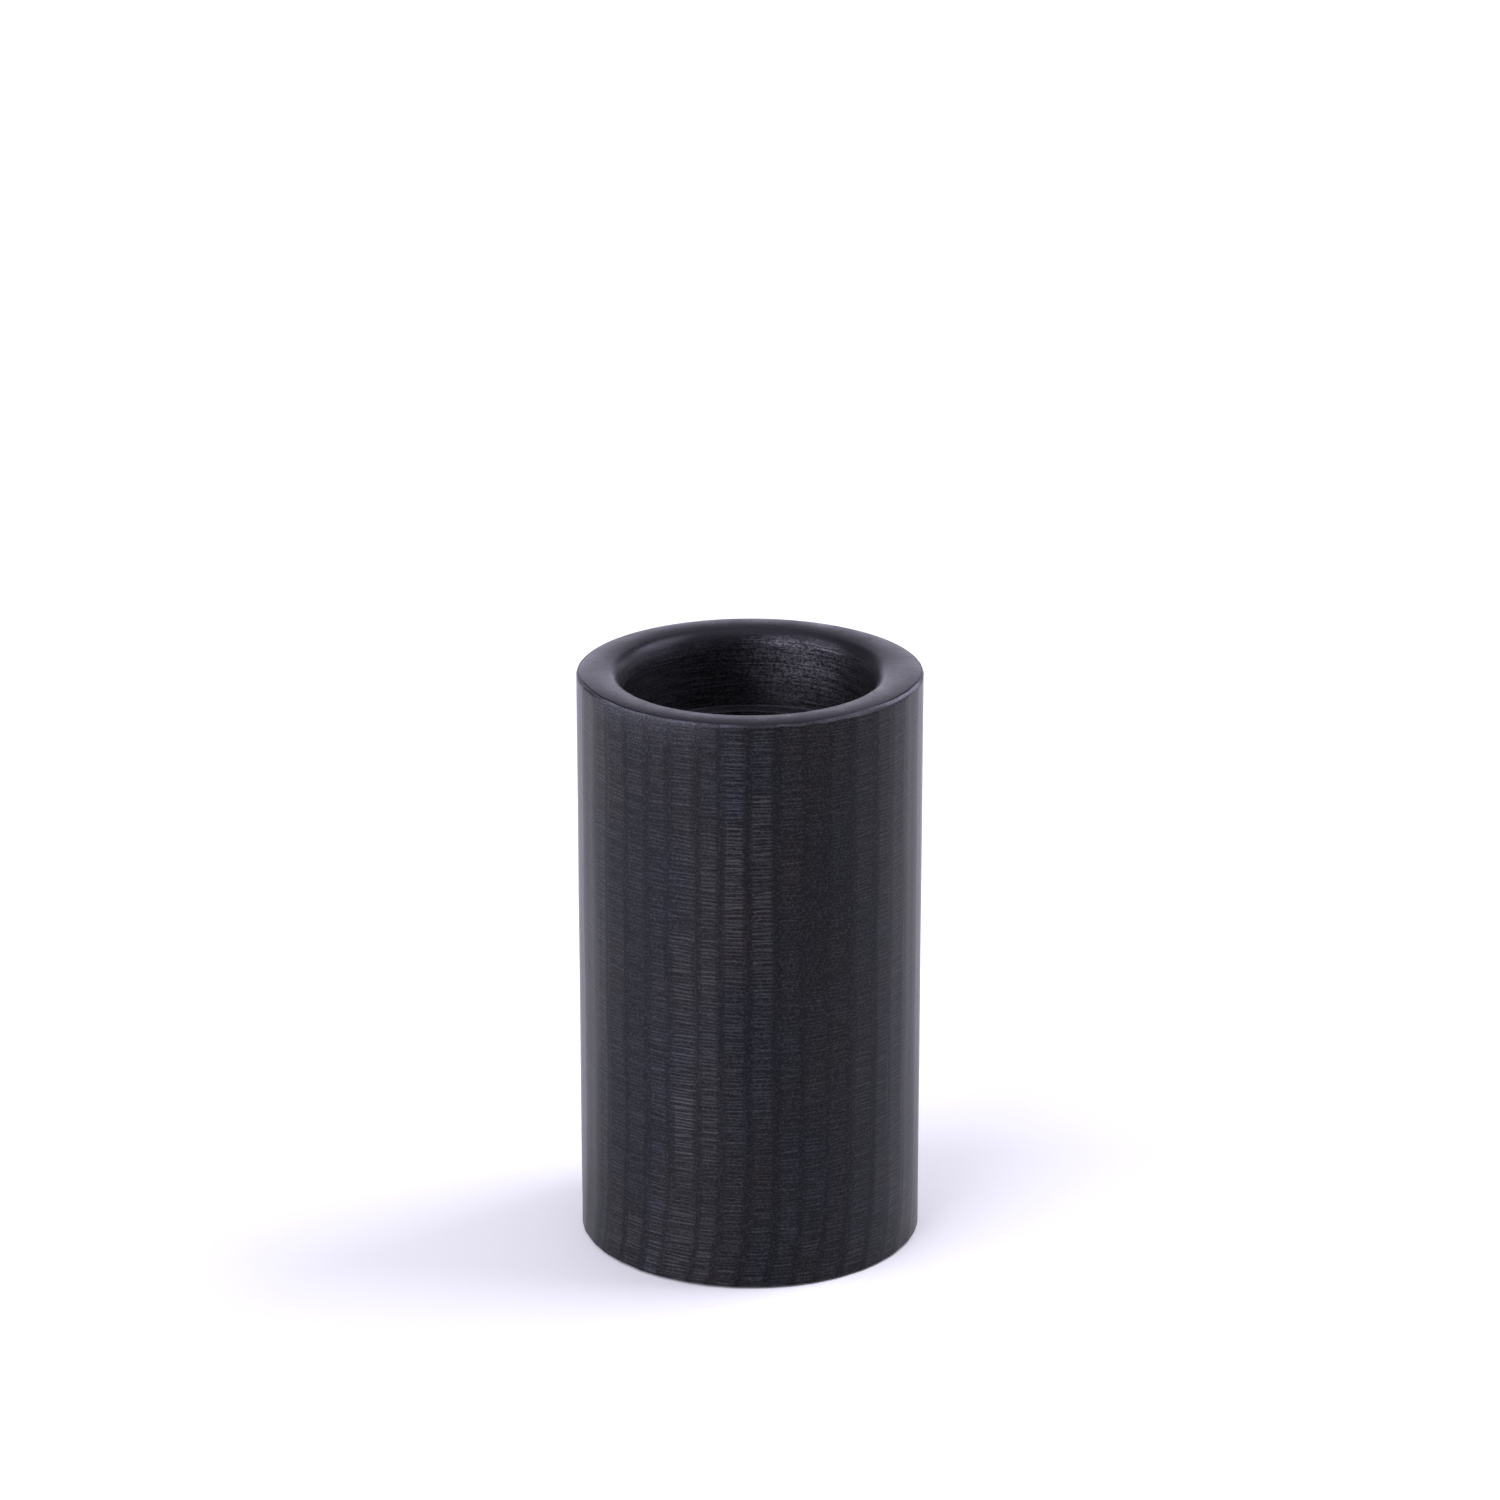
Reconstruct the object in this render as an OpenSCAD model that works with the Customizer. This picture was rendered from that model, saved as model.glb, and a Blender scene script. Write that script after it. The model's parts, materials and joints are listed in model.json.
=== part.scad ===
// Holder for a pillar candle: a ground metal sleeve, a turned rim collar pressed
// into its top with a flange let into the sleeve's edge, a shallow candle cup
// pressed up into the collar, a base plate pressed into the foot, and a rubber
// pad under the plate.
// Millimetres. Origin at the centre of the pad's underside, +Z up the axis.

/* [Sleeve] */
// Diameter across the corners of the ground facets
outer_d = 70; // [66:1:90]
// Height of the sleeve and rim together
body_h = 120; // [60:1:180]
// Number of flats ground down the outside
facets = 40; // [24:2:60]
// Wall of the sleeve, from a facet's corner to the bore
sleeve_wall = 1.7; // [1.2:0.1:2.5]

/* [Rim] */
// Diameter of the throat inside the rolled lip
throat_d = 51.4; // [51.4:0.1:52.4]
// Width of the rolled lip, seen from above
roll_w = 2.5; // [1.5:0.1:2.8]
// Depth over which the lip rolls down into the throat
roll_h = 3.6; // [2:0.1:4]
// Fall of the crowned top at its inner and outer edges
crown_drop = 0.3; // [0.1:0.05:0.4]
// Diameter of the flange that covers the sleeve's top
flange_d = 68.4; // [68:0.1:68.6]
// Thickness of the flange at its edge
flange_h = 1.2; // [0.8:0.1:2]
// Depth of the plain throat, where the cup begins
throat_h = 4.7; // [4.4:0.1:6]
// Height of the collar
collar_h = 10; // [8:0.5:15]
// Slope of the sleeve's rounded top edge where it meets the facets' corners, in degrees
edge_slope = 50; // [35:1:60]

/* [Cup] */
// Bore of the cup, which takes a 50 mm pillar candle
cup_d = 51.2; // [50.8:0.1:51.4]
// Wall of the cup
cup_wall = 1.6; // [1.2:0.1:2]
// Depth from the rim to the ledge that the candle stands on
well_depth = 16.5; // [14:0.5:40]
// Width of the ledge
ledge_w = 3.3; // [2:0.1:6]
// Depth of the wax recess inside the ledge
recess_h = 1.5; // [0.5:0.1:4]
// Thickness of the cup's floor
floor_t = 2; // [1:0.1:4]

/* [Base] */
// Thickness of the base plate
plate_t = 6; // [4:0.5:12]
// Diameter of the rubber pad
pad_d = 60; // [40:1:62]
// Thickness of the pad
pad_t = 2; // [1.5:0.1:3]
// How far the pad stands below the sleeve's foot
pad_proud = 0.5; // [0.3:0.1:1]
// Depth of the seat in the plate that locates the pad
seat_h = 0.5; // [0.2:0.1:1]

/* [Hidden] */
$fn = 96;
ARC_STEPS = 12;           // straight steps in a profile's arc
SEAM_BEVEL = 0.1;         // break on both edges of the joint between flange and sleeve
LIP_BEVEL = 0.2;          // break on the cup's upper edge
CUP_CORNER_R = 2;         // outer corner round the cup's floor
PLATE_BEVEL = 0.5;        // lead-in round the base plate's upper edge
SEAT_CLEARANCE = 0.25;    // gap round the pad in its seat
PAST = 1;                 // how far a cutter runs past the solid that it cuts

outer_r = outer_d / 2;
bore_r = outer_r - sleeve_wall;
flange_r = flange_d / 2;
rim_z = pad_proud + body_h;
throat_r = throat_d / 2;
cup_r = cup_d / 2;
cup_outer_r = cup_r + cup_wall;
plate_z = pad_t - seat_h;
edge_z = rim_z - crown_drop;
rebate_z = edge_z - flange_h;

// The crown is an arc from the lip's roll to the edge of the flange, so its slope
// where it meets each is twice the angle of the chord over half its width.
crown_in_r = throat_r + roll_w;
crown_half_w = (flange_r - crown_in_r) / 2;
crown_slope = 2 * atan(crown_drop / crown_half_w);
crown_r = crown_half_w / sin(crown_slope);
crown_mid_r = (crown_in_r + flange_r) / 2;

// The roll is part of an ellipse, from the upright throat to the crown's slope.
roll_end = atan(roll_h / (roll_w * tan(crown_slope)));
roll_a = roll_w / (1 - cos(roll_end));

// The sleeve's top edge goes on from the crown's slope to its own at the corners
// of the facets. The arc that cuts it runs on past them until it is upright.
edge_r = (outer_r - flange_r) / (sin(edge_slope) - sin(crown_slope));

// Points of an arc about (cr, cz), for slopes from s0 to s1 on its upper side.
function slope_arc(cr, cz, r, s0, s1) =
    [for (i = [0:ARC_STEPS]) let (s = s0 + (s1 - s0) * i / ARC_STEPS) [cr + r * sin(s), cz + r * cos(s)]];

function roll_points() =
    [for (i = [0:ARC_STEPS]) let (t = roll_end * i / ARC_STEPS)
        [throat_r + roll_a * (1 - cos(t)), edge_z - roll_h * (sin(roll_end) - sin(t))]];

function crown_points() = slope_arc(crown_mid_r, rim_z - crown_r, crown_r, -crown_slope, crown_slope);

function edge_points() = slope_arc(
    flange_r - edge_r * sin(crown_slope),
    edge_z - edge_r * cos(crown_slope),
    edge_r, crown_slope, 90);

function facet_corners() = [for (i = [0:facets - 1]) let (a = 360 * i / facets) outer_r * [cos(a), sin(a)]];

// Tube with flats ground down its outside, a rounded top edge and a rebate inside
// it for the collar's flange.
module outer_sleeve() {
    color("#2b2b31")
    difference() {
        intersection() {
            translate([0, 0, pad_proud]) linear_extrude(body_h) polygon(facet_corners());
            rotate_extrude() polygon(concat([[0, 0], [0, rim_z]], edge_points(), [[outer_r + PAST, 0]]));
        }
        cylinder(r = bore_r, h = rim_z + PAST);
        translate([0, 0, rebate_z]) cylinder(r = flange_r, h = flange_h + PAST);
        translate([0, 0, edge_z - SEAM_BEVEL])
            cylinder(r1 = flange_r, r2 = flange_r + SEAM_BEVEL + PAST, h = SEAM_BEVEL + PAST);
    }
}

// Turned ring with a rolled lip, a crowned top on a flange and a counterbore for the cup.
module rim_collar() {
    color("#33333a")
    rotate_extrude() polygon(concat(
        [[throat_r, rim_z - throat_h]],
        roll_points(),
        [for (p = crown_points()) if (p.x > crown_in_r && p.x < flange_r - SEAM_BEVEL) p],
        [[flange_r - SEAM_BEVEL, edge_z],
         [flange_r, edge_z - SEAM_BEVEL],
         [flange_r, rebate_z],
         [bore_r, rebate_z],
         [bore_r, rim_z - collar_h],
         [cup_outer_r, rim_z - collar_h],
         [cup_outer_r, rim_z - throat_h]]));
}

// Cup with a ledge for the candle round a recess that catches wax.
module candle_cup() {
    ledge_z = rim_z - well_depth;
    under_z = ledge_z - recess_h - floor_t;
    color("#232328")
    rotate_extrude() difference() {
        union() {
            translate([0, under_z + CUP_CORNER_R]) square([cup_outer_r, rim_z - throat_h - under_z - CUP_CORNER_R]);
            translate([0, under_z]) square([cup_outer_r - CUP_CORNER_R, CUP_CORNER_R + PAST]);
            translate([cup_outer_r - CUP_CORNER_R, under_z + CUP_CORNER_R]) circle(r = CUP_CORNER_R);
        }
        translate([-PAST, ledge_z]) square([cup_r + PAST, well_depth]);
        translate([-PAST, ledge_z - recess_h]) square([cup_r - ledge_w + PAST, recess_h + PAST]);
        translate([0, rim_z - throat_h])
            polygon([[cup_r - PAST, 0], [cup_r - PAST, -LIP_BEVEL], [cup_r, -LIP_BEVEL], [cup_r + LIP_BEVEL, 0]]);
    }
}

// Disc that closes and weights the foot, with a shallow seat for the pad.
module base_plate() {
    seat_r = pad_d / 2 + SEAT_CLEARANCE;
    color("#3a3a3f")
    translate([0, 0, plate_z]) difference() {
        union() {
            cylinder(r = bore_r, h = plate_t - PLATE_BEVEL);
            translate([0, 0, plate_t - PLATE_BEVEL]) cylinder(r1 = bore_r, r2 = bore_r - PLATE_BEVEL, h = PLATE_BEVEL);
        }
        translate([0, 0, -PAST]) cylinder(r = seat_r, h = seat_h + PAST);
    }
}

// Die-cut rubber disc that the holder stands on.
module base_pad() {
    color("#17171a")
    cylinder(d = pad_d, h = pad_t);
}

outer_sleeve();
rim_collar();
candle_cup();
base_plate();
base_pad();
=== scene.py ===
"""Looks for a blackened pillar-candle holder: a sleeve ground in upright flats, a turned
rim with a rolled lip, a brushed cup, a base plate and a rubber pad. All lengths are metres,
and azimuths on the holder run from its front, positive to the right."""
import math

import bpy
import numpy as np
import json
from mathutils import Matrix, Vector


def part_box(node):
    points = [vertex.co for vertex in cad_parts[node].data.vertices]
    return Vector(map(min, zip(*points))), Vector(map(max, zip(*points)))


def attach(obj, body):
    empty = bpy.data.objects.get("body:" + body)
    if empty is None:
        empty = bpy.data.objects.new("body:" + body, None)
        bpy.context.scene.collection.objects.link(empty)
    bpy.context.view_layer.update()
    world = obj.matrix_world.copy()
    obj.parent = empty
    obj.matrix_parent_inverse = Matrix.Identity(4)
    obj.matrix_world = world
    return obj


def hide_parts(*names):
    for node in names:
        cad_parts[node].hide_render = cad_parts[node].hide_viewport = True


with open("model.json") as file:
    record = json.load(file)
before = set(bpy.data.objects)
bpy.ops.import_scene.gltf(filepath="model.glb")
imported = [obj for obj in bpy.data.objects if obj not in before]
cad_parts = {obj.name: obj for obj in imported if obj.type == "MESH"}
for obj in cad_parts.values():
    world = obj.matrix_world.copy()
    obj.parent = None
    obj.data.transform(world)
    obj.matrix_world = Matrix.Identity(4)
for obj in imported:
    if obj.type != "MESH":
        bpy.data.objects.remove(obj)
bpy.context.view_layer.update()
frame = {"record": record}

MM = 0.001

# ---------------------------------------------------------------- sizes from the frame

sleeve_low, sleeve_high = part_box("outer_sleeve")
collar_low, collar_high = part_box("rim_collar")
cup_low, cup_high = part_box("candle_cup")
plate_low, plate_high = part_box("base_plate")
pad_low, pad_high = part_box("base_pad")
well = next(m for m in frame["record"]["mounts"] if m["name"] == "candle_well")

OUTER_R = sleeve_high.x
FOOT_Z = sleeve_low.z
EDGE_Z = sleeve_high.z          # where the sleeve's rounded top meets the collar's flange
RIM_Z = collar_high.z
FLANGE_R = collar_high.x
BORE_R = plate_high.x
CUP_TOP_Z = cup_high.z
CUP_OUTER_R = cup_high.x
CUP_R = well["dims"]["r_mm"] * MM

# ---------------------------------------------------------------- sizes of the details

FACETS = 40                     # flats round the sleeve, as in the CAD solid
THROAT_R = 25.7 * MM
ROLL_W = 2.5 * MM               # the lip's roll, across and down
ROLL_H = 3.6 * MM
WELL_DEPTH = 16.5 * MM
LEDGE_W = 3.3 * MM
RECESS_H = 1.5 * MM
FLANGE_H = 1.2 * MM
EDGE_SLOPE = math.radians(50)   # of the sleeve's top edge where it meets the flats
SEAM_BEVEL = 0.08 * MM          # break on each side of the joint in the rim
FOOT_BEVEL = 0.05 * MM          # break on the sleeve's foot, outside
BORE_BEVEL = 0.2 * MM           # and inside
RIDGE_H = 0.012 * MM            # of the grinder's cross ridges
HOOK = math.radians(4.6)        # how far the flats' edges swing aside at the foot
HOOK_H = 8 * MM                 # and the height over which that fades

# places where the grinder bore harder or, with a negative gain, more lightly: azimuth and
# height above the foot of the centre, reach each way (degrees and millimetres), and gain
DWELLS = (
    (-2, 90, 9, 30, 0.8),
    (-23, 36, 5, 11, 0.9),
    (-16, 62, 9, 26, 0.35),
    (-30, 70, 14, 60, 0.1),
    (-28, 5, 18, 9, 0.5),
    (66, 12, 14, 14, 0.4),
    (24, 84, 16, 44, -0.35),
    (-42, 70, 9, 34, -0.25),
    (140, 60, 15, 34, 0.6),
    (-128, 84, 12, 26, 0.6),
)

# where the mesh has columns across a flat, as fractions of its width
ACROSS = np.array([0.0, 0.08, 0.16, 0.24, 0.50, 0.76, 0.84, 0.92])
SLEEVE_ROWS = 290
TURNED_COLUMNS = 288
FILLET_STEPS = 5
SHARP_ANGLE = math.radians(40)

BLACKENED_IOR = 1.29            # the thin waxed oxide layer reflects little face on,
GROUND_IOR = 1.25               # and less where the grinder left it open
BLUED = (0.92, 0.90, 1.0, 1)    # tint of the layer's reflections, face on
OXIDE = ((0.0018, 0.0014, 0.0013, 1), (0.0006, 0.0009, 0.0020, 1))      # browner, bluer
GROUND = ((0.052, 0.050, 0.052, 1), (0.045, 0.050, 0.059, 1))           # browner, bluer
RUBBED = (0.19, 0.19, 0.21, 1)  # the sleeve's worn edges
BARE_AND_HIGHLIGHT = (0.17, 0.17, 0.18, 1)    # colour of the metal under the brush marks, and of the painted highlight at the back right of the well
CHATTER = 0.8                   # mm from one chatter mark to the next
BRUSH_LINES = 2.6               # in a millimetre of the well


# ---------------------------------------------------------------- mesh helpers

def arc(centre, radius, start, end, steps):
    """Points (r, z) of an arc. Angles are slopes: 0 is the arc's top, positive runs outward."""
    angles = np.linspace(start, end, steps)
    return np.stack([centre[0] + radius * np.sin(angles), centre[1] + radius * np.cos(angles)], axis=1)


def rounded(corners):
    """A profile through corners (r, z, fillet radius), with each filleted corner as an arc."""
    points = []
    for i, (r, z, fillet) in enumerate(corners):
        here = np.array([r, z])
        if fillet == 0:
            points.append(here)
            continue
        back = np.array(corners[i - 1][:2]) - here
        ahead = np.array(corners[(i + 1) % len(corners)][:2]) - here
        back /= np.linalg.norm(back)
        ahead /= np.linalg.norm(ahead)
        half = math.acos(np.clip(back @ ahead, -1, 1)) / 2
        reach = fillet / math.tan(half)
        a = here + back * reach
        b = here + ahead * reach
        for t in np.linspace(0, 1, FILLET_STEPS):
            # a quadratic curve from one tangent point to the other
            points.append((1 - t) ** 2 * a + 2 * t * (1 - t) * here + t ** 2 * b)
    return np.array(points)


def new_object(name, vertices, faces):
    mesh = bpy.data.meshes.new(name)
    mesh.from_pydata([tuple(v) for v in vertices], [], faces)
    mesh.validate()
    mesh.shade_smooth()
    mesh.set_sharp_from_angle(angle=SHARP_ANGLE)
    piece = bpy.data.objects.new(name, mesh)
    bpy.context.scene.collection.objects.link(piece)
    return piece


def add_values(piece, name, values):
    """A named number at each vertex, for the material."""
    layer = piece.data.attributes.new(name, "FLOAT", "POINT")
    layer.data.foreach_set("value", np.ascontiguousarray(values, dtype=np.float32).ravel())


def round_axis(r, azimuth, z):
    """Points at those radii, azimuths and heights, as one list."""
    return np.stack([r * np.sin(azimuth), -r * np.cos(azimuth), z], axis=2).reshape(-1, 3)


def ring_faces(columns, rows, closed):
    """Quads of a grid of columns round the axis and rows along a profile."""
    last = rows if closed else rows - 1
    faces = []
    for i in range(columns):
        k = (i + 1) % columns
        for j in range(last):
            m = (j + 1) % rows
            faces.append((i * rows + j, k * rows + j, k * rows + m, i * rows + m))
    return faces


def turned(name, profile, wobble=None):
    """A solid of revolution. A profile that starts and ends on the axis is closed with fans,
    and any other is a closed loop. wobble(azimuth, r, z) gives a shift (dr, dz)."""
    on_axis = profile[0][0] == 0
    body = profile[1:-1] if on_axis else profile
    azimuth = np.linspace(0, 2 * math.pi, TURNED_COLUMNS, endpoint=False)[:, None]
    r = np.repeat(body[None, :, 0], TURNED_COLUMNS, axis=0)
    z = np.repeat(body[None, :, 1], TURNED_COLUMNS, axis=0)
    if wobble:
        dr, dz = wobble(azimuth, r, z)
        r = r + dr
        z = z + dz
    vertices = round_axis(r, azimuth, z)
    rows = len(body)
    faces = ring_faces(TURNED_COLUMNS, rows, closed=not on_axis)
    if on_axis:
        first, last = len(vertices), len(vertices) + 1
        vertices = np.vstack([vertices, [0, 0, profile[0][1]], [0, 0, profile[-1][1]]])
        for i in range(TURNED_COLUMNS):
            k = (i + 1) % TURNED_COLUMNS
            faces.append((first, k * rows, i * rows))
            faces.append((last, i * rows + rows - 1, k * rows + rows - 1))
    return new_object(name, vertices, faces)


def drift(rng, count, z, size, wavelengths):
    """count smooth random curves over the heights z, each within about size of 0."""
    curves = np.zeros((count, len(z)))
    for length in wavelengths:
        phase = rng.uniform(0, 2 * math.pi, (count, 1))
        gain = rng.uniform(0.3, 1.0, (count, 1))
        curves += gain * np.sin(2 * math.pi * z[None, :] / length + phase)
    return curves * size / len(wavelengths)


# ---------------------------------------------------------------- the rim

crown_in_r = THROAT_R + ROLL_W
crown_mid_r = (crown_in_r + FLANGE_R) / 2
crown_half_w = (FLANGE_R - crown_in_r) / 2
crown_slope = 2 * math.atan((RIM_Z - EDGE_Z) / crown_half_w)
crown_r = crown_half_w / math.sin(crown_slope)
edge_r = (OUTER_R - FLANGE_R) / (math.sin(EDGE_SLOPE) - math.sin(crown_slope))
edge_mid_r = FLANGE_R - edge_r * math.sin(crown_slope)
rebate_z = EDGE_Z - FLANGE_H


def top_z(r):
    """Height of the rim's upper surface: a crown on the collar, then the sleeve's rounded edge."""
    on_crown = np.minimum(r, FLANGE_R) - crown_mid_r
    crown = RIM_Z - crown_r + np.sqrt(crown_r ** 2 - on_crown ** 2)
    on_edge = np.maximum(r, FLANGE_R) - edge_mid_r
    edge = EDGE_Z - edge_r * math.cos(crown_slope) + np.sqrt(edge_r ** 2 - on_edge ** 2)
    return np.where(r > FLANGE_R, edge, crown)


def signed(azimuth):
    """The azimuth from -pi to pi, with 0 at the front."""
    return (azimuth + math.pi) % (2 * math.pi) - math.pi


def fade(value, start, end):
    """0 before start, 1 after end, and smooth between. Degrees, for a value in radians."""
    t = np.clip((np.degrees(value) - start) / (end - start), 0, 1)
    return t * t * (3 - 2 * t)


def joint_r(azimuth):
    """Radius of the joint in the rim. Hand finishing left it uneven along the front, and took
    a bite out of it towards the right."""
    a = signed(azimuth)
    front = fade(a, -86, -70) * fade(-a, -84, -70)
    wander = 0.05 * np.sin(9 * a + 1) + 0.04 * np.sin(22 * a) + 0.03 * np.sin(37 * a + 2)
    bite = np.exp(-(np.degrees(a) - 44) ** 2 / 12 ** 2)
    return FLANGE_R + (0.3 + front * (wander - 0.45) - 0.6 * bite) * MM


def rim_collar():
    """Closed profile: up the throat, over the roll and the crown, and down inside the sleeve."""
    roll_end = math.atan(ROLL_H / (ROLL_W * math.tan(crown_slope)))
    roll_a = ROLL_W / (1 - math.cos(roll_end))
    t = np.linspace(0, roll_end, 22)
    roll = np.stack([
        THROAT_R + roll_a * (1 - np.cos(t)),
        EDGE_Z - ROLL_H * (math.sin(roll_end) - np.sin(t)),
    ], axis=1)
    crown = arc((crown_mid_r, RIM_Z - crown_r), crown_r, -crown_slope, crown_slope, 26)
    # the roll's last point starts the crown, and the bevel takes the place of its outer end
    crown = crown[(crown[:, 0] > crown_in_r + 0.05 * MM) & (crown[:, 0] < FLANGE_R - 2 * SEAM_BEVEL)]
    # the flange's lower corner is broken, and stays just clear of the rebate
    rest = rounded([
        (FLANGE_R, EDGE_Z, SEAM_BEVEL),
        (FLANGE_R, rebate_z + 0.05 * MM, 0.1 * MM),
        (BORE_R, rebate_z, 0),
        (BORE_R, collar_low.z, 0.3 * MM),
        (CUP_OUTER_R, collar_low.z, 0.3 * MM),
        (CUP_OUTER_R, CUP_TOP_Z, 0),
        (THROAT_R, CUP_TOP_Z, 0),
    ])
    profile = np.vstack([roll, crown, rest])

    def hand_finish(azimuth, r, z):
        # the throat sits a little left of the axis and wanders
        near = np.clip((BORE_R - r) / (BORE_R - THROAT_R), 0, 1)
        near = near * np.clip((z - CUP_TOP_Z) / (2 * MM), 0, 1)
        dr = -0.30 * np.sin(azimuth) + 0.05 * np.sin(3 * azimuth + 0.4) + 0.03 * np.sin(7 * azimuth)
        dz = 0.02 * np.sin(2 * azimuth + 1.0) + 0.015 * np.sin(5 * azimuth + 2.0) - 0.035
        # the flange's edge follows the joint, and stays on the rim's surface
        outer = np.clip((r - crown_mid_r) / (FLANGE_R - crown_mid_r), 0, 1)
        above = np.clip((z - rebate_z) / FLANGE_H, 0, 1)
        moved = outer * (joint_r(azimuth) - FLANGE_R) * (above > 0.01)
        sunk = (top_z(r + moved) - top_z(r)) * np.where(outer > 0.99, above, 1) * (outer > 0)
        return dr * near * MM + moved, dz * near * MM + sunk

    return turned("rim_collar_turned", profile, wobble=hand_finish)


# ---------------------------------------------------------------- the ground sleeve

def pressure(azimuth, z):
    """How hard the grinder bore on the sleeve there."""
    total = np.full(np.broadcast(azimuth, z).shape, 0.5)
    for at, height, width, reach, gain in DWELLS:
        aside = signed(azimuth - math.radians(at)) / math.radians(width)
        along = (z - (FOOT_Z + height * MM)) / (reach * MM)
        total = total + gain * np.exp(-aside ** 2 - along ** 2)
    return total


def sleeve_flats(rng, z):
    """The azimuth and radius of each flat's columns at the heights z, and the azimuth that each
    flat starts at. The edges between flats wander down the height, and hook near the foot."""
    pitch = 2 * math.pi / FACETS
    start = (np.arange(FACETS) + rng.uniform(-0.11, 0.11, FACETS)) * pitch
    hook = -HOOK * np.exp(-(z - FOOT_Z) / HOOK_H)
    edges = start[:, None] + drift(rng, FACETS, z, math.radians(0.8), (0.150, 0.062, 0.031)) + hook
    reach = OUTER_R - 0.04 * MM - rng.uniform(0, 0.06, (FACETS, 1)) * MM
    reach = reach + drift(rng, FACETS, z, 0.03 * MM, (0.110, 0.043))
    next_edges = np.roll(edges, -1, axis=0)
    next_edges[-1] += 2 * math.pi
    next_reach = np.roll(reach, -1, axis=0)

    azimuth = edges[:, None, :] + ACROSS[None, :, None] * (next_edges - edges)[:, None, :]
    a0, a1 = edges[:, None, :], next_edges[:, None, :]
    r0, r1 = reach[:, None, :], next_reach[:, None, :]
    radius = r0 * r1 * np.sin(a1 - a0) / (r0 * np.sin(azimuth - a0) + r1 * np.sin(a1 - azimuth))
    round_off = np.clip(1 - np.abs((ACROSS + 0.5) % 1 - 0.5) / 0.12, 0, 1) ** 2
    return azimuth, radius - 0.05 * MM * round_off[None, :, None], start


def grinding(rng, z, start):
    """Cross ridges, random from row to row and the same all across a flat, and how strongly
    each flat is marked. The marks stop at a flat's edges, except where one flat's grinding
    overran the next."""
    ridge = rng.normal(0, 1, (FACETS, len(z) + 2))
    ridge = ridge[:, :-2] * 0.25 + ridge[:, 1:-1] * 0.5 + ridge[:, 2:] * 0.25
    margin = np.minimum(ACROSS, 1 - ACROSS)
    marked = np.interp(margin, [0.08, 0.16, 0.24], [0.0, 0.35, 1.0])[None, :, None]
    overrun = rng.uniform(-0.4, 1.0, (FACETS, 1)) + drift(rng, FACETS, z, 0.6, (0.090, 0.037))
    overlap = np.interp(margin, [0.0, 0.08, 0.24], [0.25, 0.75, 1.0])[None, :, None]
    overlap = overlap * np.clip(overrun, 0, 1)[:, None, :]
    middle = start % (2 * math.pi) + math.pi / FACETS
    strength = pressure(middle[:, None], z[None, :])
    strength = np.clip(strength + drift(rng, FACETS, z, 0.22, (0.130, 0.047, 0.019)), 0.1, 1.6)
    return ridge[:, None, :], np.maximum(marked, overlap) * strength[:, None, :]


def edge_finish(a, z, on_edge):
    """Marks past the flats, and wear on the flats at the heights z and past them. on_edge runs
    from 0 at the flats to 1 at the joint. The grinder ran over the rounded edge along the left
    front, and rubbing wore it along the right front."""
    ground = fade(a, -95, -80) * fade(-a, -32, -20)
    left = 0.30 * fade(a, -68, -48) * fade(-a, 2, 28)
    right = (0.2 * fade(a, 12, 35) + 0.65 * fade(a, 42, 62)) * fade(-a, -84, -74)
    start_at = 0.10 + 0.06 * np.sin(9 * a) + 0.05 * np.sin(23 * a + 1)
    lighter = (left + right + 0.04) * np.clip((on_edge - start_at * (right > left)) / 0.12, 0, 1)
    return ground * (on_edge > 0), np.hstack([0.5 * left * np.exp((z - z[-1]) / (3 * MM)), lighter])


def outer_sleeve():
    """A tube whose outside is a ring of flats that carry shallow cross ridges."""
    rng = np.random.default_rng(11)
    z = np.linspace(FOOT_Z + FOOT_BEVEL, top_z(OUTER_R), SLEEVE_ROWS)
    azimuth, radius, start = sleeve_flats(rng, z)
    ridge, marks = grinding(rng, z, start)
    radius = radius + RIDGE_H * ridge * marks
    azimuth, radius, marks = [values.reshape(-1, SLEEVE_ROWS) for values in (azimuth, radius, marks)]

    # the rounded top edge runs from the flats in to the joint, and the foot is broken
    turn = azimuth[:, -1:]
    joint = joint_r(turn)
    top = np.linspace(0, 1, 12)[1:]
    top_r = joint + SEAM_BEVEL + (radius[:, -1:] - joint - SEAM_BEVEL) * (1 - top)
    foot = np.array([(BORE_R, FOOT_Z + BORE_BEVEL), (BORE_R + BORE_BEVEL, FOOT_Z)])
    inside = np.vstack([(BORE_R, rebate_z), (BORE_R, plate_high.z), foot])
    ones = np.ones_like(turn)
    r = np.hstack([radius, top_r, joint, joint, ones * inside[:, 0], radius[:, :1] - FOOT_BEVEL])
    heights = np.hstack([
        ones * z, top_z(top_r), top_z(joint) - SEAM_BEVEL, ones * rebate_z,
        ones * inside[:, 1], ones * FOOT_Z,
    ])
    at_foot = len(foot) + 1
    past_flats = r.shape[1] - SLEEVE_ROWS
    azimuth = np.hstack([
        azimuth,
        np.repeat(turn, past_flats - at_foot, axis=1),
        np.repeat(azimuth[:, :1], at_foot, axis=1),
    ])
    faces = ring_faces(len(r), r.shape[1], closed=True)
    piece = new_object("outer_sleeve_ground", round_axis(r, azimuth, heights), faces)

    on_edge = np.zeros((len(r), past_flats))
    on_edge[:, :len(top)] = top
    edge_marks, wear = edge_finish(signed(turn), z, on_edge)
    flat_id = np.repeat(rng.uniform(0, 1, FACETS), len(ACROSS))[:, None] * np.ones((1, r.shape[1]))
    add_values(piece, "marks", np.hstack([marks, edge_marks]))
    add_values(piece, "flat_id", flat_id)
    add_values(piece, "wear", wear)
    return piece


# ---------------------------------------------------------------- cup, plate and pad

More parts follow.
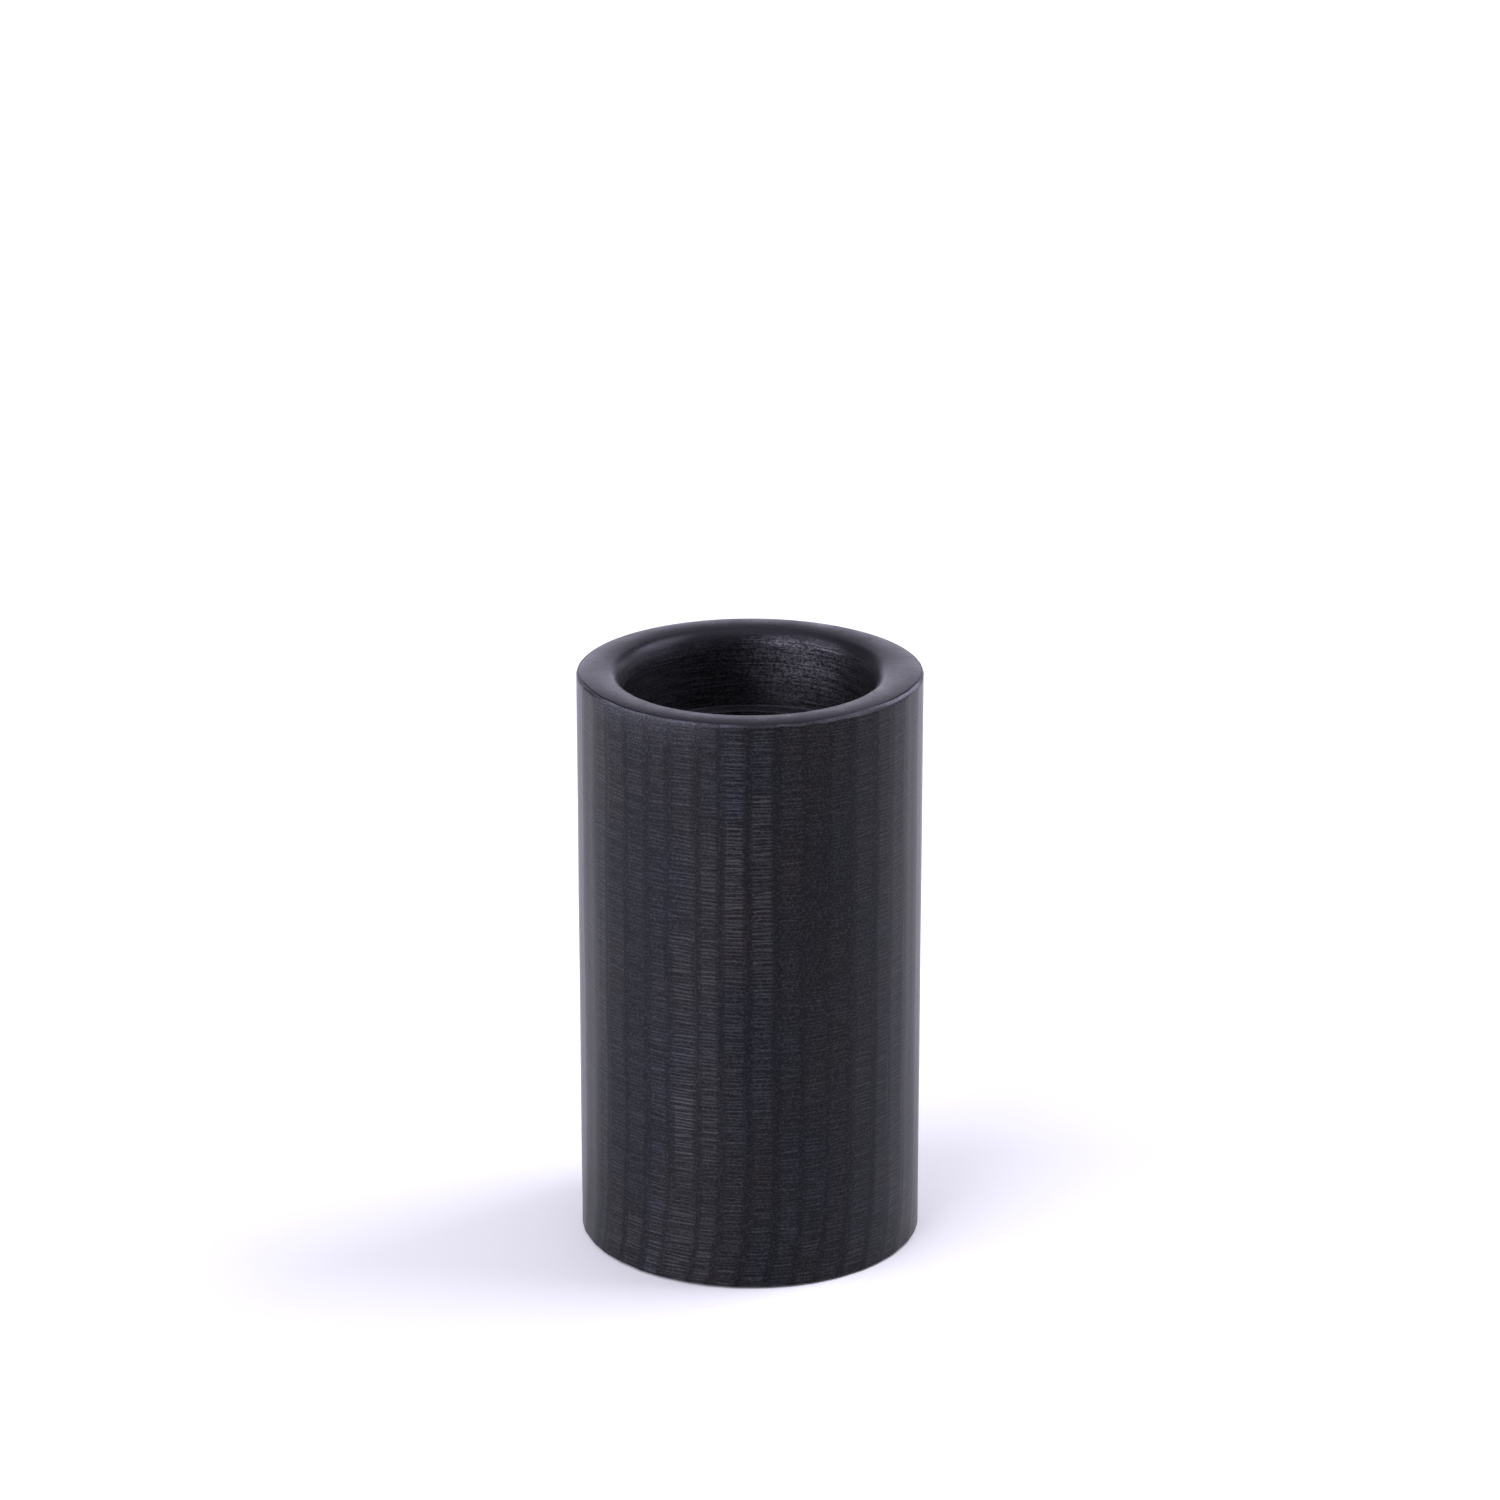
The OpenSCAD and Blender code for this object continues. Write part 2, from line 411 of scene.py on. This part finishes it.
def candle_cup():
    ledge_z = RIM_Z - WELL_DEPTH
    recess_z = ledge_z - RECESS_H
    recess_r = CUP_R - LEDGE_W
    profile = rounded([
        (0, recess_z, 0),
        (recess_r, recess_z, 0.4 * MM),
        (recess_r, ledge_z, 0.25 * MM),
        (CUP_R, ledge_z, 0.5 * MM),
        (CUP_R, CUP_TOP_Z - 2 * MM, 0),
        (THROAT_R - 0.01 * MM, CUP_TOP_Z, 0),
        (CUP_OUTER_R, CUP_TOP_Z, 0),
        (CUP_OUTER_R, cup_low.z, 2 * MM),
        (0, cup_low.z, 0),
    ])
    return turned("candle_cup_brushed", profile)


def base_plate():
    seat_r = pad_high.x + 0.25 * MM
    profile = rounded([
        (0, plate_high.z, 0),
        (BORE_R, plate_high.z, 0.5 * MM),
        (BORE_R, plate_low.z, 0.25 * MM),
        (seat_r, plate_low.z, 0.15 * MM),
        (seat_r, pad_high.z, 0),
        (0, pad_high.z, 0),
    ])
    return turned("base_plate_turned", profile)


def base_pad():
    profile = rounded([
        (0, pad_high.z, 0),
        (pad_high.x, pad_high.z, 0.1 * MM),
        (pad_high.x, pad_low.z, 0.4 * MM),
        (0, pad_low.z, 0),
    ])
    return turned("base_pad_rubber", profile)


# ---------------------------------------------------------------- materials

class Nodes:
    """The node tree of a material or world, with short calls for the nodes used here."""

    def __init__(self, owner):
        self.owner = owner
        owner.use_nodes = True
        self.tree = owner.node_tree
        self.shader = self.tree.nodes.get("Principled BSDF")

    def link(self, value, socket):
        if isinstance(value, (int, float, tuple)):
            socket.default_value = value
        else:
            self.tree.links.new(value, socket)

    def node(self, kind, **inputs):
        made = self.tree.nodes.new(kind)
        for key, value in inputs.items():
            self.link(value, made.inputs[key])
        return made

    def math(self, operation, a, b=0.0):
        made = self.tree.nodes.new("ShaderNodeMath")
        made.operation = operation
        self.link(a, made.inputs[0])
        self.link(b, made.inputs[1])
        return made.outputs[0]

    def position(self):
        return self.tree.nodes.new("ShaderNodeTexCoord").outputs["Object"]

    def stretched(self, scale, offset=None):
        """The position times scale along each axis, moved by offset."""
        made = self.tree.nodes.new("ShaderNodeVectorMath")
        made.operation = "MULTIPLY_ADD"
        self.link(self.position(), made.inputs[0])
        made.inputs[1].default_value = scale
        if offset is not None:
            self.link(offset, made.inputs[2])
        return made.outputs[0]

    def vector(self, x, y, z):
        made = self.tree.nodes.new("ShaderNodeCombineXYZ")
        for value, socket in zip((x, y, z), made.inputs):
            self.link(value, socket)
        return made.outputs[0]

    def noise(self, vector, detail=2.0, roughness=0.5):
        made = self.node("ShaderNodeTexNoise", Vector=vector, Scale=1.0, Detail=detail, Roughness=roughness)
        return made.outputs["Fac"]

    def distance(self, vector, other=(0, 0, 0)):
        made = self.tree.nodes.new("ShaderNodeVectorMath")
        made.operation = "DISTANCE"
        self.link(vector, made.inputs[0])
        self.link(other, made.inputs[1])
        return made.outputs["Value"]

    def spread(self, value, low, high, to_low, to_high, smooth=False):
        """value from low..high to to_low..to_high, clamped."""
        made = self.tree.nodes.new("ShaderNodeMapRange")
        made.interpolation_type = "SMOOTHSTEP" if smooth else "LINEAR"
        for v, socket in zip((value, low, high, to_low, to_high), made.inputs):
            self.link(v, socket)
        return made.outputs[0]

    def attribute(self, name):
        made = self.tree.nodes.new("ShaderNodeAttribute")
        made.attribute_name = name
        return made.outputs["Fac"]

    def mix(self, factor, a, b):
        made = self.tree.nodes.new("ShaderNodeMix")
        made.data_type = "RGBA"
        self.link(factor, made.inputs["Factor"])
        self.link(a, made.inputs[6])
        self.link(b, made.inputs[7])
        return made.outputs[2]

    def bump(self, height, depth, normal=None):
        """Bump of the given depth in metres."""
        made = self.tree.nodes.new("ShaderNodeBump")
        made.inputs["Strength"].default_value = 1.0
        made.inputs["Distance"].default_value = depth
        self.link(height, made.inputs["Height"])
        if normal is not None:
            self.link(normal, made.inputs["Normal"])
        return made.outputs["Normal"]

    def blued(self, amount):
        """A blued surface whose reflections spread across tool marks round the holder's axis."""
        self.shader.inputs["Specular Tint"].default_value = BLUED
        around = self.tree.nodes.new("ShaderNodeTangent")
        around.direction_type = "RADIAL"
        around.axis = "Z"
        self.link(around.outputs[0], self.shader.inputs["Tangent"])
        self.shader.inputs["Anisotropic"].default_value = amount
        self.shader.inputs["Anisotropic Rotation"].default_value = 0.25

    def finish(self, color, roughness, normal=None, metallic=0.0, ior=BLACKENED_IOR):
        self.link(color, self.shader.inputs["Base Color"])
        self.link(roughness, self.shader.inputs["Roughness"])
        self.link(metallic, self.shader.inputs["Metallic"])
        self.shader.inputs["IOR"].default_value = ior
        if normal is not None:
            self.link(normal, self.shader.inputs["Normal"])
        return self.owner


def per_mm(x, y, z):
    """Scale for a noise with that many features in a millimetre along each axis."""
    return (x / MM, y / MM, z / MM)


def ground_metal():
    """Black oxide, ground through in chatter marks and scratches across each flat and in fine
    grain all over, with worn edges. Its tint drifts from brown to blue in patches."""
    n = Nodes(bpy.data.materials.new("ground_black_metal_look"))
    marks = n.attribute("marks")
    shift = n.vector(0.0, 0.0, n.math("MULTIPLY", n.attribute("flat_id"), 90.0))
    even = n.node("ShaderNodeSeparateXYZ", Vector=n.stretched(per_mm(0.0, 0.0, 2 * math.pi / CHATTER), shift))
    waver = n.noise(n.stretched(per_mm(0.07, 0.07, 0.35), shift), detail=2.0)
    turns = n.math("ADD", even.outputs["Z"], n.math("MULTIPLY", waver, 18.0))
    uneven = n.noise(n.stretched(per_mm(0.06, 0.06, 2.2), shift), detail=2.0, roughness=0.7)
    chatter = n.math("ADD", n.math("MULTIPLY", n.math("SINE", turns), 0.13), uneven)
    scratch = n.noise(n.stretched(per_mm(0.22, 0.22, 3.6), shift), detail=2.0, roughness=0.6)
    grain = n.noise(n.stretched(per_mm(2.2, 2.2, 3.0)), detail=2.0, roughness=0.8)
    cloud = n.noise(n.stretched(per_mm(0.06, 0.06, 0.03)), detail=3.0)

    lines = n.math("MULTIPLY", n.spread(chatter, 0.46, 0.70, 0.0, 1.0), marks)
    fine = n.math("MULTIPLY", n.spread(scratch, 0.50, 0.66, 0.0, 1.0), marks)
    lighter = n.math("ADD", n.math("MULTIPLY", lines, 0.60), n.math("MULTIPLY", fine, 0.25))
    lighter = n.math("ADD", lighter, n.spread(grain, 0.49, 0.66, 0.0, 0.45))
    normal = n.bump(n.math("MULTIPLY", chatter, marks), 0.09 * MM)
    normal = n.bump(n.math("MULTIPLY", scratch, marks), 0.03 * MM, normal)
    normal = n.bump(grain, 0.03 * MM, normal)

    tint = n.spread(cloud, 0.40, 0.60, 0.0, 1.0)
    rubbed = n.math("MULTIPLY", n.attribute("wear"), n.spread(grain, 0.35, 0.60, 0.45, 1.1))
    color = n.mix(rubbed, n.mix(lighter, n.mix(tint, *OXIDE), n.mix(tint, *GROUND)), RUBBED)
    n.blued(0.85)
    rough = n.spread(lighter, 0.0, 1.2, 0.33, 0.42)
    return n.finish(color, rough, normal, ior=GROUND_IOR)


def brush_marks_and_highlight(n, amount):
    """Brush marks round the well's wall and floor, with a painted highlight: the marks are barest round one
    spot at the back right, in place of a reflection of the light. Gives how much metal is bared, from 0 to 1,
    painted highlight included, and the normal."""
    # painted highlight: the brush marks are barest round this point at the back right of the throat, and fade
    # to a fifth of that beyond 15 mm
    highlight_patch = (10 * MM, 23.5 * MM, RIM_Z - 4 * MM)
    lighter = n.spread(n.distance(n.position(), highlight_patch), 4 * MM, 15 * MM, 1.0, 0.2, smooth=True)
    inward = n.math("SUBTRACT", n.distance(n.stretched((1, 1, 0))), CUP_R)
    rings = n.vector(0.0, 0.0, n.math("MULTIPLY", inward, BRUSH_LINES / MM))
    streaks = n.noise(n.stretched(per_mm(0.12, 0.12, BRUSH_LINES), rings), detail=3.0, roughness=0.75)
    speckle = n.noise(n.stretched(per_mm(1.7, 1.7, 2.8)), detail=3.0, roughness=0.8)
    pattern = n.math("ADD", n.math("MULTIPLY", streaks, 0.45), n.math("MULTIPLY", speckle, 0.55))
    # the brush marks bared, strongest in the painted highlight at the back right
    bare_and_highlight = n.math("MULTIPLY", n.spread(pattern, 0.45, 0.61, 0.0, 1.0), n.math("MULTIPLY", lighter, amount))
    normal = n.bump(n.math("MULTIPLY", streaks, amount), 0.04 * MM)
    return bare_and_highlight, n.bump(n.math("MULTIPLY", speckle, amount), 0.05 * MM, normal)


def turned_metal():
    """Smooth satin metal, with the well's brush marks on the inner side of the lip, and the painted highlight
    at the back right there.
    """
    n = Nodes(bpy.data.materials.new("turned_black_metal_and_highlight_look"))
    height = n.node("ShaderNodeSeparateXYZ", Vector=n.position()).outputs["Z"]
    inner = n.spread(height, RIM_Z - 3.0 * MM, RIM_Z - 0.8 * MM, 1.0, 0.0)
    bare_and_highlight, normal = brush_marks_and_highlight(n, inner)
    grain = n.noise(n.stretched(per_mm(1.5, 1.5, 1.5)), detail=2.0, roughness=0.8)
    cloud = n.noise(n.stretched(per_mm(0.16, 0.16, 0.16)), detail=4.0, roughness=0.65)
    mottle = n.math("ADD", n.math("MULTIPLY", cloud, 0.6), n.math("MULTIPLY", grain, 0.4))
    normal = n.bump(grain, 0.03 * MM, normal)
    rough = n.spread(mottle, 0.35, 0.65, 0.25, 0.40)
    rough = n.math("ADD", rough, n.math("MULTIPLY", inner, 0.06))
    n.blued(0.65)
    # bared metal, including the painted highlight at the back right, is light and metallic
    color = n.mix(bare_and_highlight, (0.006, 0.006, 0.0075, 1), BARE_AND_HIGHLIGHT)
    return n.finish(color, rough, normal, bare_and_highlight)


def brushed_metal():
    """The cup's wall and floor, under its brush marks and the painted highlight at the back right."""
    n = Nodes(bpy.data.materials.new("brushed_black_metal_and_highlight_look"))
    bare_and_highlight, normal = brush_marks_and_highlight(n, 1.0)
    n.blued(0.65)
    # bared metal, including the painted highlight at the back right, is light and metallic
    color = n.mix(bare_and_highlight, (0.002, 0.002, 0.0025, 1), BARE_AND_HIGHLIGHT)
    return n.finish(color, n.spread(bare_and_highlight, 0.0, 1.0, 0.38, 0.42), normal, bare_and_highlight)


def plate_metal():
    """The base plate's finely grained face."""
    n = Nodes(bpy.data.materials.new("plate_black_metal_look"))
    grain = n.noise(n.stretched(per_mm(1.6, 1.6, 1.6)), detail=3.0)
    normal = n.bump(grain, 0.01 * MM)
    return n.finish((0.014, 0.014, 0.016, 1), n.spread(grain, 0.3, 0.7, 0.4, 0.5), normal)


def rubber():
    """The pad's matt, slightly uneven face."""
    n = Nodes(bpy.data.materials.new("pad_rubber_look"))
    grain = n.noise(n.stretched(per_mm(2.0, 2.0, 2.0)), detail=2.0)
    return n.finish((0.016, 0.016, 0.016, 1), n.spread(grain, 0.3, 0.7, 0.75, 0.9), n.bump(grain, 0.02 * MM))


# ---------------------------------------------------------------- the holder

for make, node, material in (
    (outer_sleeve, "outer_sleeve", ground_metal),
    (rim_collar, "rim_collar", turned_metal),
    (candle_cup, "candle_cup", brushed_metal),
    (base_plate, "base_plate", plate_metal),
    (base_pad, "base_pad", rubber),
):
    piece = make()
    piece.data.materials.append(material())
    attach(piece, "root")
    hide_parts(node)

# ---------------------------------------------------------------- floor, light and camera

# The room's radiance. Azimuths here are in degrees from straight behind the holder, positive
# to the right, so the camera is at 180, and elevations are in degrees too.
ROOM_FAR = 0.22                 # the walls behind the holder
ROOM_NEAR = 0.05                # the walls on the camera's side
ROOM_HIGH = 1.4                 # the ceiling
WALLS_MEET = (95, 125)          # azimuths between which the far walls fade into the near ones
CEILING_MEETS = (40, 75)        # elevations between which the walls fade into the ceiling
LIGHT_COLOR = (1.0, 0.975, 1.19, 1)
SOFT_SIDES = 4                  # blur of a softbox's sides, either way
SOFT_ENDS = 8                   # and of its ends
SOFTBOXES = (                   # sides (azimuths), ends (elevations) and radiance
    ((-162, -89), (-10, 50), 3.2),      # large, to the camera's left
    ((-22, 98), (-10, 22), 0.5),        # low, from behind round to the right
    ((-22, 18), (-10, 25), 0.85),       # low, straight behind
    ((34, 98), (-10, 22), 0.5),         # low, to the right
    ((50, 100), (28, 60), 5.0),         # high, to the right
)

FLOOR_HALF = 6.0
CAMERA_LENS = 126
CAMERA_AT = (0, -1.0012, 0.4513)
CAMERA_DOWN = 19.17             # degrees below level


def plain_floor():
    mesh = bpy.data.meshes.new("floor")
    corners = [(x * FLOOR_HALF, y * FLOOR_HALF, 0) for x, y in ((-1, -1), (1, -1), (1, 1), (-1, 1))]
    mesh.from_pydata(corners, [], [(0, 1, 2, 3)])
    floor = bpy.data.objects.new("floor", mesh)
    bpy.context.scene.collection.objects.link(floor)
    n = Nodes(bpy.data.materials.new("floor_paper"))
    mesh.materials.append(n.finish((0.95, 0.955, 0.90, 1), 0.9))


def studio_world():
    """A white room with softboxes. The camera sees plain white behind the holder."""
    n = Nodes(bpy.data.worlds.new("studio"))
    generated = n.tree.nodes.new("ShaderNodeTexCoord").outputs["Generated"]
    direction = n.node("ShaderNodeSeparateXYZ", Vector=generated)
    azimuth = n.math("ARCTAN2", direction.outputs["X"], direction.outputs["Y"])
    elevation = n.math("ARCSINE", direction.outputs["Z"])
    aside = n.math("ABSOLUTE", azimuth)
    walls = n.spread(aside, *map(math.radians, WALLS_MEET), ROOM_FAR, ROOM_NEAR, smooth=True)
    light = n.spread(elevation, *map(math.radians, CEILING_MEETS), walls, ROOM_HIGH, smooth=True)
    for sides, ends, radiance in SOFTBOXES:
        panel = radiance
        for angle, (start, end), soft in ((azimuth, sides, SOFT_SIDES), (elevation, ends, SOFT_ENDS)):
            for edge, inward in ((start, 1), (end, -1)):
                low, high = math.radians(edge - soft), math.radians(edge + soft)
                inside = n.spread(angle, low, high, (1 - inward) / 2, (1 + inward) / 2, smooth=True)
                panel = n.math("MULTIPLY", inside, panel)
        light = n.math("ADD", light, panel)
    seen = n.tree.nodes.new("ShaderNodeLightPath").outputs["Is Camera Ray"]
    strength = n.math("ADD", n.math("MULTIPLY", light, n.math("SUBTRACT", 1.0, seen)), seen)
    background = n.tree.nodes["Background"]
    n.link(n.mix(seen, LIGHT_COLOR, (1, 1, 1, 1)), background.inputs["Color"])
    n.link(strength, background.inputs["Strength"])
    bpy.context.scene.world = n.owner


def studio_camera():
    data = bpy.data.cameras.new("camera")
    data.lens = CAMERA_LENS
    data.sensor_width = 36
    data.clip_end = 50
    camera = bpy.data.objects.new("camera", data)
    camera.location = CAMERA_AT
    camera.rotation_euler = (math.radians(90 - CAMERA_DOWN), 0, 0)
    bpy.context.scene.collection.objects.link(camera)
    bpy.context.scene.camera = camera


plain_floor()
studio_world()
studio_camera()
bpy.context.scene.view_settings.view_transform = "Standard"
